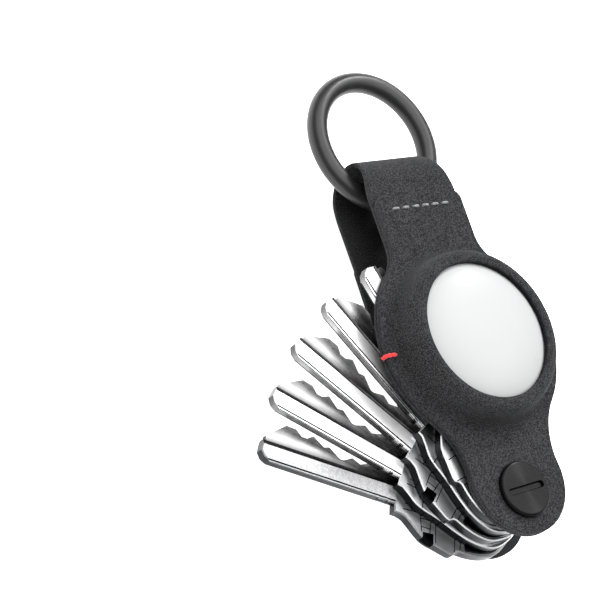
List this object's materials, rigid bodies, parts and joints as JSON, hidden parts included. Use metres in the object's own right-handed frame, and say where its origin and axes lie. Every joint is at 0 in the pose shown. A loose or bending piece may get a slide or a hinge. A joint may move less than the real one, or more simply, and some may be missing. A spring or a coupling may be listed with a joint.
{
  "type": "key organiser",
  "caption": "Folded suede strap that holds loose keys on a coin-slot screw, with a round tracker in a moulded pocket and a carry ring in its loop.",
  "frame": {"origin": "pivot axis at the flat back face of the screw post, the part lying on its back", "axes": "+Z along the pivot from the back leaf to the screw head, +Y from the pivot through the tracker to the carry ring, +X to the right seen from the front"},
  "size_m": [0.0678, 0.099, 0.0222],
  "materials": {
    "suede": "dark charcoal microfibre suede, matt, fine speckled nap",
    "grey_thread": "mid grey bonded polyester thread",
    "red_thread": "bright red waxed thread",
    "screw_metal": "gunmetal black steel, turned with fine concentric marks",
    "ring_metal": "satin black coating",
    "key_metal": "bright nickel plate",
    "spacer_nylon": "black nylon shim",
    "white_plastic": "polished white polycarbonate",
    "tracker_steel": "polished stainless steel",
    "circuit_board": "green solder mask",
    "copper": "bare copper"
  },
  "bodies": {
    "holder": {"strap": "suede", "front_cover": "suede", "seam_thread": "grey_thread", "red_edge_thread": "red_thread", "pivot_post": "screw_metal", "tracker_shell": "white_plastic", "tracker_back_cover": "tracker_steel", "tracker_coin_cell": "tracker_steel", "tracker_board": "circuit_board", "tracker_magnet": "tracker_steel", "tracker_coil": "copper", "spacer_1": "spacer_nylon", "spacer_2": "spacer_nylon", "spacer_3": "spacer_nylon", "spacer_4": "spacer_nylon", "spacer_5": "spacer_nylon", "spacer_6": "spacer_nylon", "tracker_contact_1": "copper", "tracker_contact_2": "copper", "tracker_contact_3": "copper"},
    "ring": {"carry_ring": "ring_metal"},
    "screw": {"pivot_screw": "screw_metal"},
    "key_1_body": {"key_1": "key_metal"},
    "key_2_body": {"key_2": "key_metal"},
    "key_3_body": {"key_3": "key_metal"},
    "key_4_body": {"key_4": "key_metal"},
    "key_5_body": {"key_5": "key_metal"}
  },
  "joints": [
    {"name": "ring_swing", "type": "hinge", "parent": "holder", "child": "ring", "pos_m": [0, 0.0652, 0.00755], "axis": [1, 0, 0], "range_deg": [-25, 25]},
    {"name": "screw_turn", "type": "hinge", "parent": "holder", "child": "screw", "pos_m": [0, 0, 0.0151], "axis": [0, 0, 1], "range_deg": [-30, 180]},
    {"name": "key_1_swing", "type": "hinge", "parent": "holder", "child": "key_1_body", "pos_m": [0, 0, 0.0076], "axis": [0, 0, 1], "range_deg": [-15.3, 164.7]},
    {"name": "key_2_swing", "type": "hinge", "parent": "holder", "child": "key_2_body", "pos_m": [0, 0, 0.0076], "axis": [0, 0, 1], "range_deg": [-28.1, 151.9]},
    {"name": "key_3_swing", "type": "hinge", "parent": "holder", "child": "key_3_body", "pos_m": [0, 0, 0.0076], "axis": [0, 0, 1], "range_deg": [-40.4, 139.6]},
    {"name": "key_4_swing", "type": "hinge", "parent": "holder", "child": "key_4_body", "pos_m": [0, 0, 0.0076], "axis": [0, 0, 1], "range_deg": [-52.9, 127.1]},
    {"name": "key_5_swing", "type": "hinge", "parent": "holder", "child": "key_5_body", "pos_m": [0, 0, 0.0076], "axis": [0, 0, 1], "range_deg": [-64.7, 115.3]}
  ]
}
